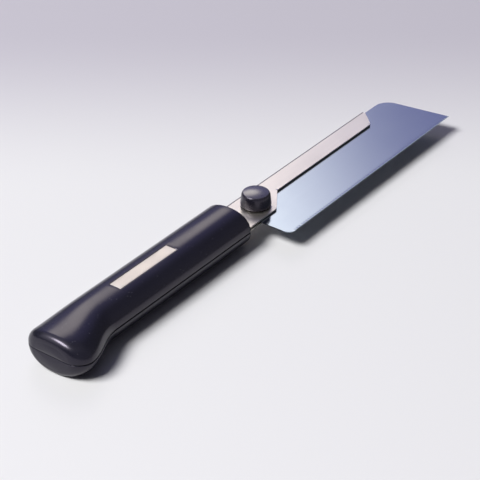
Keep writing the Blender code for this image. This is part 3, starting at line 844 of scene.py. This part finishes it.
def make_handle(screw_places, screw_low, screw_high):
    """Both halves, with the tang's pocket between them, holes for the screws and seats for their heads."""
    pocket_low = np.array([HOLDER_LOW[0], GRIP_Y - TANG_WIDTH / 2, HOLDER_LOW[2]]) - CLEARANCE
    pocket_high = np.array([FRONT_X + OVERRUN, GRIP_Y + TANG_WIDTH / 2, HOLDER_HIGH[2]]) + CLEARANCE
    hole_top = screw_high + CLEARANCE
    seat = screw_low + SCREW_HEAD_HEIGHT + CLEARANCE
    for side, node in (("upper", "handle_upper_half"), ("lower", "handle_lower_half")):
        upper = side == "upper"
        half = new_object(side + "_handle_moulding", skin(node, handle_half(upper)))
        bodies = [box_mesh("tang_pocket", pocket_low, pocket_high)]
        for place in screw_places:
            bodies.append(cylinder_mesh("shank_hole", SHANK_HOLE, place, screw_low, hole_top))
            if not upper:
                bodies.append(cylinder_mesh("screw_seat", HEAD_HOLE, place, 0, seat, SCREW_SEAT_MOUTH))
        carve(half, bodies)
        dress(half, "handle", "handle_plastic", HANDLE_PLASTIC, node)


# Label

def label_lines(length):
    """Places along a side of the label: dense at its eased edges and its border line, even between them."""
    groove = LABEL_BORDER_AT + np.linspace(-1, 1, BORDER_LINES) * LABEL_BORDER_WIDTH
    inward = np.concatenate([LABEL_EDGE * (1 - np.cos(quarter())), groove])
    plain = np.linspace(groove[-1], length - groove[-1], LABEL_LINES)[1:-1]
    return np.concatenate([inward, plain, length - inward[::-1]])


def make_label():
    """Bare foil slip with eased edges and a fine pressed line round its border.

    Its top is a height field: full height inside, less an eased edge that falls as a quarter circle, less a
    shallow groove, one cosine wave wide, at a set distance from the edge.
    """
    size = (LABEL_HIGH - LABEL_LOW)[:2]
    along, across = np.meshgrid(label_lines(size[0]), label_lines(size[1]), indexing="ij")
    inside = np.minimum(np.minimum(along, size[0] - along), np.minimum(across, size[1] - across))
    near_groove = np.clip(np.abs(inside - LABEL_BORDER_AT) / LABEL_BORDER_WIDTH, 0, 1)
    pressed = LABEL_BORDER_DEPTH * (1 + np.cos(np.pi * near_groove)) / 2
    top = LABEL_HIGH[2] - drawn_in(inside, LABEL_EDGE) - pressed
    x = LABEL_LOW[0] + along
    y = LABEL_LOW[1] + across
    upper = np.stack([x, y, top], -1)
    lower = np.stack([x, y, np.full_like(top, LABEL_LOW[2])], -1)
    slip = new_object("label_slip", sheet("label_slip", upper, lower))
    dress(slip, "handle", "label_foil", LABEL_FOIL, "label_plate")


# Folded holder

def holder_tooth_edge(x):
    """Tooth-side edge of the holder: a sum of soft ramps at its plan corners, from plate to strip end."""
    slant = (HOLDER_HIGH[1] - STRIP_WIDTH - HOLDER_LOW[1]) / SLANT_LENGTH
    end_slope = (STRIP_WIDTH - STRIP_END_FLAT) / STRIP_END_CUT
    rise = slant * (soft_ramp(x - SLANT_START, PLAN_CORNER) - soft_ramp(x - SLANT_END, PLAN_CORNER))
    return HOLDER_LOW[1] + rise + end_slope * soft_ramp(x - STRIP_END_START, PLAN_CORNER)


def folded_sheet():
    """Mesh of the folded sheet: a U-shaped section carried along X, its tooth edge following the plan.

    The section's middle line runs in along the lower leaf, round a half circle and out along the upper
    leaf; its two sides lie half a leaf's thickness to either side of that line.
    """
    corner_x = np.array([SLANT_START, SLANT_END, STRIP_END_START])
    near_corner = (corner_x[:, None] + np.linspace(-1, 1, CORNER_LINES) * PLAN_CORNER).ravel()
    even = np.linspace(HOLDER_SHOULDER, HOLDER_HIGH[0], HOLDER_LINES)
    x = np.unique(np.concatenate([even, near_corner]))[:, None]
    tooth_y = holder_tooth_edge(x)
    fold_y = HOLDER_HIGH[1] - FOLD_RADIUS
    leaf_y = tooth_y + (fold_y - tooth_y) * np.linspace(0, 1, LEAF_STEPS, endpoint=False)
    turn = np.linspace(-np.pi / 2, np.pi / 2, FOLD_STEPS + 1)

    def side(radius):
        """Points of one side of the sheet, at its radius in the fold."""
        fold = np.tile(fold_y + radius * np.cos(turn), (len(x), 1))
        flat = np.full(LEAF_STEPS, radius)
        y = np.concatenate([leaf_y, fold, leaf_y[:, ::-1]], axis=1)
        z = BLADE_Z + np.concatenate([-flat, radius * np.sin(turn), flat])
        return np.stack([np.broadcast_to(x, y.shape), y, np.broadcast_to(z, y.shape)], -1)

    return sheet("folded_holder", side(FOLD_RADIUS), side(SLOT_RADIUS))


def make_holder(screw_places):
    """The folded sheet with its two tangs, its holes for the screws and the clamp, and eased edges."""
    holder = new_object("folded_blade_holder", folded_sheet())
    tang_y = GRIP_Y + np.array([-1, 1]) * TANG_WIDTH / 2
    tang_end = HOLDER_SHOULDER + OVERRUN / 2
    lower_leaf = (BLADE_Z - FOLD_RADIUS, BLADE_Z - SLOT_RADIUS)
    upper_leaf = (BLADE_Z + SLOT_RADIUS, BLADE_Z + FOLD_RADIUS)
    tangs = [
        box_mesh("tang", (HOLDER_LOW[0], tang_y[0], low), (tang_end, tang_y[1], high))
        for low, high in (lower_leaf, upper_leaf)]
    carve(holder, tangs, "UNION")
    in_tang = screw_places[:TANG_SCREWS]
    bodies = [cylinder_mesh("shank_hole", SHANK_HOLE, place, 0, HANDLE_TOP) for place in in_tang]
    bodies.append(cylinder_mesh("stud_hole", STUD_HOLE, CLAMP_AXIS, BLADE_Z + OVERRUN, HANDLE_TOP))
    bodies.append(cylinder_mesh("pilot_hole", PILOT_HOLE, CLAMP_AXIS, 0, BLADE_Z))
    carve(holder, bodies)
    ease_edges(holder, HOLDER_EDGE)
    dress(holder, "handle", "holder_steel", STAINLESS, "blade_holder")
    holder.modifiers.new("even_shade", "WEIGHTED_NORMAL").keep_sharp = True


# Blade

def tooth_line(length):
    """Corner points of the tooth edge: place along the blade, depth from the tips, and lean to a side."""
    count = int((length - HEEL_CORNER_RADIUS) / TOOTH_PITCH)
    pitch = (length - HEEL_CORNER_RADIUS) / count
    tips = HEEL_CORNER_RADIUS + pitch * np.arange(count + 1)
    gullets = tips[:-1] + TOOTH_LEAN * pitch
    along = np.concatenate([tips, gullets])
    depth = np.concatenate([np.zeros(count + 1), np.full(count, TOOTH_DEPTH)])
    lean = np.concatenate([(-1.0) ** np.arange(count + 1), np.zeros(count)])
    order = np.argsort(along)
    return along[order], depth[order], lean[order]


def blade_edges(length, width):
    """Places along the blade, its tooth edge and back edge there, and how far its teeth lean.

    The tooth edge is a quarter circle at the heel, then a saw wave. The back edge is the heel's chamfer,
    the straight back and the slanted end, with the last corner rounded by an arc.
    """
    tooth_x, tooth_depth, tooth_lean = tooth_line(length)
    end_turn = np.pi - np.arctan2(width, -TIP_SETBACK)
    arc_x = length - TIP_SETBACK - TIP_CORNER_RADIUS * np.tan(end_turn / 2)
    arc_turn = np.linspace(0, end_turn, 2 * ARC_STEPS)
    corner_x = arc_x + TIP_CORNER_RADIUS * np.sin(arc_turn)
    corner_y = width - TIP_CORNER_RADIUS * (1 - np.cos(arc_turn))
    back_x = np.concatenate([[0, HEEL_CHAMFER], corner_x, [length]])
    back_y = np.concatenate([[width - HEEL_CHAMFER, width], corner_y, [0]])
    heel = HEEL_CORNER_RADIUS * (1 - np.cos(quarter()))
    tip = length - TIP_SETBACK * np.linspace(0, 1, TIP_LINES)
    x = np.unique(np.round(np.concatenate([heel, tooth_x, corner_x, tip, [HEEL_CHAMFER]]), BLADE_DECIMALS))
    teeth = np.interp(x, tooth_x, tooth_depth)
    tooth_edge = np.where(x < HEEL_CORNER_RADIUS, drawn_in(x, HEEL_CORNER_RADIUS), teeth)
    back = np.interp(x, back_x, back_y)
    lean = np.interp(x, tooth_x, tooth_lean, left=0)
    return x, np.minimum(tooth_edge, back), back, lean


def make_blade():
    """Thin sheet between its tooth edge and its back edge, which are both functions of x.

    Each tooth is ground thinner towards its edge and leans to one side, then the next to the other.
    """
    length, width, thickness = BLADE_HIGH - BLADE_LOW
    x, low, back, lean = blade_edges(length, width)
    ground = np.minimum(np.maximum(low, TOOTH_GRIND), back)
    slope = np.gradient(back, x)
    margin = np.minimum(EDGE_MARGIN * np.sqrt(1 + slope ** 2), (back - ground) / (4 * EDGE_ROWS))
    x, low, ground, back, lean, margin = (line[:, None] for line in (x, low, ground, back, lean, margin))
    border = margin * np.arange(EDGE_ROWS)
    flat_low = ground + EDGE_ROWS * margin
    flat_high = back - EDGE_ROWS * margin
    flat = flat_low + (flat_high - flat_low) * np.linspace(0, 1, BLADE_LINES)
    teeth = low + (ground - low) * GROUND_ROWS
    y = np.concatenate([teeth, ground + border, flat, (back - border)[:, ::-1]], axis=1)

    near_edge = np.zeros(y.shape[1])
    near_edge[:len(GROUND_ROWS)] = 1 - GROUND_ROWS
    before_tip = np.clip((length - x) / TOOTH_PITCH, 0, 1) * near_edge
    toothed = np.clip((x - HEEL_CORNER_RADIUS) / TOOTH_FADES_IN, 0, 1) * before_tip
    half = thickness / 2 * (1 - (1 - TOOTH_EDGE_SHARE) * toothed)
    middle_z = BLADE_Z + TOOTH_SET * lean * before_tip

    def face(z):
        """Points of the blade's grid at given heights."""
        return np.stack([np.broadcast_to(BLADE_LOW[0] + x, y.shape), BLADE_LOW[1] + y, z], -1)

    mesh = sheet("toothed_blade", face(middle_z + half), face(middle_z - half), pointed=True)
    blade = new_object("toothed_blade", mesh)
    carve(blade, [cylinder_mesh("blade_hole", BLADE_HOLE_DIAMETER, CLAMP_AXIS, 0, HANDLE_TOP)])
    dress(blade, "blade", "blade_steel", BLADE_STEEL, "blade")


# Clamp

def clamp_piece(name, radius, height, columns=ROUND_COLUMNS):
    """Object turned about the clamp's axis."""
    return new_object(name, turned(name, radius, height, CLAMP_AXIS, columns))


def make_knob():
    """Knob turned from a parabolic dome, a quarter-ellipse shoulder, a flared side and a rounded foot.

    From below it is hollowed by a seat for the washer and a socket for the stud's head.
    """
    top, foot = KNOB_HIGH[2], KNOB_LOW[2]
    rim_inner = KNOB_TOP_DIAMETER / 2 - KNOB_RIM_RADIUS
    foot_inner = KNOB_BASE_DIAMETER / 2 - KNOB_FOOT_RADIUS
    turn = quarter()
    dome = np.linspace(0, 1, DOME_STEPS, endpoint=False)
    rim_z = top - KNOB_DOME_HEIGHT - KNOB_SHOULDER
    seat = WASHER_HIGH[2] + CLEARANCE
    hold = (WASHER_HIGH - WASHER_LOW)[0] / 2 + CLEARANCE
    socket = (STUD_HIGH - STUD_LOW)[0] / 2 + CLEARANCE
    socket_top = STUD_HIGH[2] + CLEARANCE
    radius = np.concatenate([
        rim_inner * dome, rim_inner + KNOB_RIM_RADIUS * np.sin(turn),
        foot_inner + KNOB_FOOT_RADIUS * np.cos(turn), [hold, hold, socket, socket, 0]])
    height = np.concatenate([
        top - KNOB_DOME_HEIGHT * dome ** 2, rim_z + KNOB_SHOULDER * np.cos(turn),
        foot + KNOB_FOOT_RADIUS * (1 - np.sin(turn)), [foot, seat, seat, socket_top, socket_top]])
    knob = clamp_piece("turned_clamp_knob", radius, height)
    dress(knob, "clamp_knob", "knob_plastic", KNOB_PLASTIC, "clamp_knob")


def make_stud():
    """Threaded stud under a plain head: a cylinder less a helical groove, chamfered at its tip."""
    head = (STUD_HIGH - STUD_LOW)[0] / 2
    top, tip = STUD_HIGH[2], STUD_LOW[2]
    shoulder = top - STUD_HEAD_HEIGHT
    lines = int((shoulder - tip) / THREAD_PITCH * LINES_PER_PITCH)
    shank_z = np.linspace(shoulder, tip, lines)
    cut = thread(shank_z, BOLT_COLUMNS, THREAD_PITCH, THREAD_DEPTH)
    chamfer = np.clip(STUD_TIP_CHAMFER - (shank_z - tip), 0, None)
    shank = STUD_DIAMETER / 2 - np.maximum(cut, chamfer[:, None])
    plain = np.ones(BOLT_COLUMNS)
    radius = np.concatenate([[0 * plain, head * plain, head * plain], shank, [0 * plain]])
    height = np.concatenate([[top, top, shoulder], shank_z, [tip]])
    stud = clamp_piece("threaded_clamp_stud", radius, height, BOLT_COLUMNS)
    dress(stud, "clamp_knob", "fastener_steel", ZINC, "clamp_stud")


def make_washer():
    """Flat ring with chamfered corners."""
    bore = STUD_HOLE / 2
    rim = (WASHER_HIGH - WASHER_LOW)[0] / 2
    low, high = WASHER_LOW[2], WASHER_HIGH[2]
    ease = WASHER_EDGE
    radius = np.array([bore + ease, rim - ease, rim, rim, rim - ease, bore + ease, bore, bore, bore + ease])
    height = np.array([high, high, high - ease, low + ease, low, low, low + ease, high - ease, high])
    washer = clamp_piece("flat_clamp_washer", radius, height)
    dress(washer, "clamp_washer", "fastener_steel", ZINC, "clamp_washer")


def make_nut():
    """Pressed-in nut: a flange knurled by a cosine wave, a plain pilot, and the stud's thread with play."""
    flange = (NUT_HIGH - NUT_LOW)[0] / 2
    low, high = NUT_LOW[2], NUT_HIGH[2]
    flange_top = HOLDER_LOW[2] - CLEARANCE
    columns = NUT_KNURLS * COLUMNS_PER_KNURL
    turn = np.linspace(0, 2 * np.pi, columns, endpoint=False)
    knurled = flange - KNURL_DEPTH * (1 - np.cos(NUT_KNURLS * turn)) / 2
    eased = np.full(columns, flange - NUT_EDGE)
    pilot = np.full(columns, NUT_PILOT_DIAMETER / 2)
    lines = int((high - low) / THREAD_PITCH * LINES_PER_PITCH)
    bore_z = np.linspace(low, high, lines)
    bore = STUD_DIAMETER / 2 + THREAD_PLAY - thread(bore_z, columns, THREAD_PITCH, THREAD_DEPTH)
    radius = np.concatenate([[pilot, pilot, eased, knurled, knurled, eased], bore, [pilot]])
    height = np.concatenate([
        [high, flange_top, flange_top, flange_top - NUT_EDGE, low + NUT_EDGE, low], bore_z, [high]])
    nut = clamp_piece("knurled_clamp_nut", radius, height, columns)
    dress(nut, "handle", "fastener_steel", ZINC, "clamp_nut")


# Handle screws

def make_screws(screw_places, low, high):
    """Pan-head screws driven from below: a crowned head with a cross recess and a coarse tapered thread."""
    head = SCREW_HEAD_DIAMETER / 2
    seat = low + SCREW_HEAD_HEIGHT
    crown = quarter(SCREW_CROWN_STEPS)
    crown_z = low + SCREW_HEAD_CROWN * (1 - np.cos(crown))
    lines = int((high - seat) / SCREW_THREAD_PITCH * LINES_PER_PITCH)
    shank_z = np.linspace(seat, high, lines)
    cut = thread(shank_z, BOLT_COLUMNS, SCREW_THREAD_PITCH, SCREW_THREAD_DEPTH)
    taper = np.clip((high - shank_z) / SCREW_POINT_LENGTH, 0, 1)[:, None]
    plain = np.ones((1, BOLT_COLUMNS))
    rounded = head * np.sin(crown)[:, None] * plain
    radius = np.concatenate([rounded, head * plain, (SCREW_DIAMETER / 2 - cut) * taper])
    height = np.concatenate([crown_z, [seat], shank_z])
    reach = SCREW_CROSS_LENGTH / 2
    side = SCREW_CROSS_WIDTH / 2
    for name, (x, y) in zip(SCREW_NAMES, screw_places):
        mesh = turned("handle_screw", radius, height, (x, y), BOLT_COLUMNS)
        screw = new_object(name + "_handle_screw", mesh)
        arms = [
            box_mesh("cross_arm", (x - a, y - b, low - OVERRUN), (x + a, y + b, low + SCREW_CROSS_DEPTH))
            for a, b in ((reach, side), (side, reach))]
        carve(screw, arms)
        dress(screw, "handle", "fastener_steel", ZINC, "handle_screw_" + name)


def make_saw():
    """All the pieces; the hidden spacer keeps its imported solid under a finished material."""
    boxes = [corners("handle_screw_" + name) for name in SCREW_NAMES]
    screw_places = [((low + high) / 2)[:2] for low, high in boxes]
    screw_low, screw_high = boxes[0][0][2], boxes[0][1][2]
    make_handle(screw_places, screw_low, screw_high)
    make_label()
    make_holder(screw_places)
    make_blade()
    make_knob()
    make_stud()
    make_washer()
    make_nut()
    make_screws(screw_places, screw_low, screw_high)
    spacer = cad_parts["tang_spacer"]
    spacer.data.materials.clear()
    spacer.data.materials.append(STAINLESS)


# Floor, light and camera

# Floor: its colour near the camera and far from it, with the falloff of light painted in, the way it
# darkens, and from where to where
FLOOR_SIZE = 6.0
FLOOR_DROP = 0.0001
FLOOR_NEAR = (0.83, 0.825, 0.825, 1)
FLOOR_SHADED_FAR = (0.58, 0.555, 0.61, 1)
FLOOR_AWAY = (0.8, 0.6, 0)
FLOOR_SHADE_FADES_IN = (0.04, 0.24)
FLOOR_ROUGHNESS = 0.9
FLOOR_GLOSS = 0.1
KEY_FROM = Vector((-0.57, 0.29, 0.80))
KEY_DISTANCE = 4.0
KEY_WIDTH = 2.0
KEY_HEIGHT = 1.1
KEY_POWER = 186.0
# Studio room: its colour towards the horizon and the ceiling, and the heights between which it changes
ROOM_LOW = (0.02, 0.02, 0.03, 1)
ROOM_HIGH = (0.10, 0.10, 0.12, 1)
ROOM_CHANGES = (0.7, 0.98)
# Softbox behind the blade, bright in its middle and with a wide halo. Each glow is its direction, the
# degrees from it at which it starts to fade and is gone, and its colour
SOFTBOX_TOWARDS = (0.582, 0.562, 0.588)
SOFTBOX_GLOWS = (
    (SOFTBOX_TOWARDS, 6, 13.9, (2.75, 2.60, 2.12, 1)),
    (SOFTBOX_TOWARDS, 10, 42, (0.26, 0.25, 0.58, 1)),
)
# Pale walls and screens of the room, which show in reflections only
WALL_COLOUR = (0.12, 0.12, 0.13, 1)
SCREEN_GLOWS = (
    ((-0.62, 0.50, 0.60), 10, 36, (1.15, 1.15, 1.2, 1)),
    ((-0.12, 0.50, 0.86), 12, 36, (0.7, 0.7, 0.74, 1)),
    ((-0.13, -0.93, 0.34), 35, 80, (0.18, 0.18, 0.20, 1)),
    ((0, 0, 1), 12, 45, (0.16, 0.16, 0.17, 1)),
)
# Room behind the floor, as the camera sees it
BACKDROP_COLOUR = (0.80, 0.80, 0.82, 1)
CAMERA_PLACE = Vector((-0.58697, -0.42642, 0.45931))
CAMERA_LOOKS = Vector((0.67623, 0.50359, -0.53769))
CAMERA_LENS = 129.0
CAMERA_SENSOR = 36.0


def join_shaders(tree, kind, first, second, **sockets):
    """Output of a node that mixes or adds two shaders, which take its last two sockets."""
    made = add_node(tree, kind, **sockets)
    feed(tree, made.inputs[-2], first)
    feed(tree, made.inputs[-1], second)
    return made.outputs[0]


def make_floor():
    """Pale floor with a painted falloff of light that darkens it a little away from the camera, and seen
    through from below.
    """
    made, tree, shader = new_material("pale_floor")
    shader.inputs["Roughness"].default_value = FLOOR_ROUGHNESS
    shader.inputs["Specular IOR Level"].default_value = FLOOR_GLOSS
    depth = dot_product(tree, object_place(tree), FLOOR_AWAY)
    # Painted falloff of light: the floor darkens away from the camera
    painted_falloff = stretch(tree, depth, *FLOOR_SHADE_FADES_IN, smooth=True)
    feed(tree, shader.inputs["Base Color"], mix_colour(tree, painted_falloff, FLOOR_NEAR, FLOOR_SHADED_FAR))
    clear = add_node(tree, "BsdfTransparent").outputs["BSDF"]
    under = add_node(tree, "NewGeometry").outputs["Backfacing"]
    shown = join_shaders(tree, "MixShader", shader.outputs["BSDF"], clear, Fac=under)
    feed(tree, tree.nodes["Material Output"].inputs["Surface"], shown)
    side = np.array([-1, 1]) * FLOOR_SIZE / 2
    x, y = np.meshgrid(side, side, indexing="ij")
    points = np.stack([x, y, np.full_like(x, -FLOOR_DROP)], -1).reshape(-1, 3)
    mesh = bpy.data.meshes.new("floor")
    mesh.from_pydata(points.tolist(), [], [(0, 2, 3, 1)])
    mesh.materials.append(made)
    new_object("floor", mesh)


def make_glow(tree, direction, glow, seen):
    """Light from one patch of the room, which fades with the angle from its middle."""
    middle, full, gone, colour = glow
    towards = dot_product(tree, direction, Vector(middle).normalized())
    angle = calculate(tree, "ARCCOSINE", towards)
    fade = stretch(tree, angle, np.radians(full), np.radians(gone), 1.0, 0.0, smooth=True)
    strength = calculate(tree, "MULTIPLY", fade, seen)
    return add_node(tree, "Background", Color=colour, Strength=strength).outputs["Background"]


def make_world():
    """Studio room: dark, with a paler ceiling, a softbox that lights, and pale screens in reflections."""
    world = bpy.data.worlds.new("studio_room")
    bpy.context.scene.world = world
    world.use_nodes = True
    tree = world.node_tree
    direction = add_node(tree, "TexCoord").outputs["Generated"]
    height = add_node(tree, "SeparateXYZ", Vector=direction).outputs["Z"]
    ray = add_node(tree, "LightPath").outputs
    seen = ray["Is Glossy Ray"]
    room = tree.nodes["Background"]
    ceiling = stretch(tree, height, *ROOM_CHANGES, smooth=True)
    feed(tree, room.inputs["Color"], mix_colour(tree, ceiling, ROOM_LOW, ROOM_HIGH))
    lights = [add_node(tree, "Background", Color=WALL_COLOUR, Strength=seen).outputs["Background"]]
    lights += [make_glow(tree, direction, glow, 1.0) for glow in SOFTBOX_GLOWS]
    lights += [make_glow(tree, direction, glow, seen) for glow in SCREEN_GLOWS]
    total = room.outputs["Background"]
    for light in lights:
        total = join_shaders(tree, "AddShader", total, light)
    backdrop = add_node(tree, "Background", Color=BACKDROP_COLOUR).outputs["Background"]
    shown = join_shaders(tree, "MixShader", total, backdrop, Fac=ray["Is Camera Ray"])
    feed(tree, tree.nodes["World Output"].inputs["Surface"], shown)


def make_light():
    """Soft key light from high up, past the handle's butt."""
    lamp = bpy.data.lights.new("key_light", "AREA")
    lamp.shape = "RECTANGLE"
    lamp.size = KEY_WIDTH
    lamp.size_y = KEY_HEIGHT
    lamp.energy = KEY_POWER
    key = bpy.data.objects.new("key_light", lamp)
    key.location = KEY_FROM.normalized() * KEY_DISTANCE
    key.rotation_euler = KEY_FROM.to_track_quat("Z", "Y").to_euler()
    bpy.context.scene.collection.objects.link(key)


def make_camera():
    """Camera at the photograph's viewing angle."""
    lens = bpy.data.cameras.new("camera")
    lens.lens = CAMERA_LENS
    lens.sensor_width = CAMERA_SENSOR
    camera = bpy.data.objects.new("camera", lens)
    camera.location = CAMERA_PLACE
    camera.rotation_euler = CAMERA_LOOKS.to_track_quat("-Z", "Y").to_euler()
    bpy.context.scene.collection.objects.link(camera)
    bpy.context.scene.camera = camera


make_camera()
make_saw()
make_floor()
make_world()
make_light()
bpy.context.scene.view_settings.view_transform = "Standard"
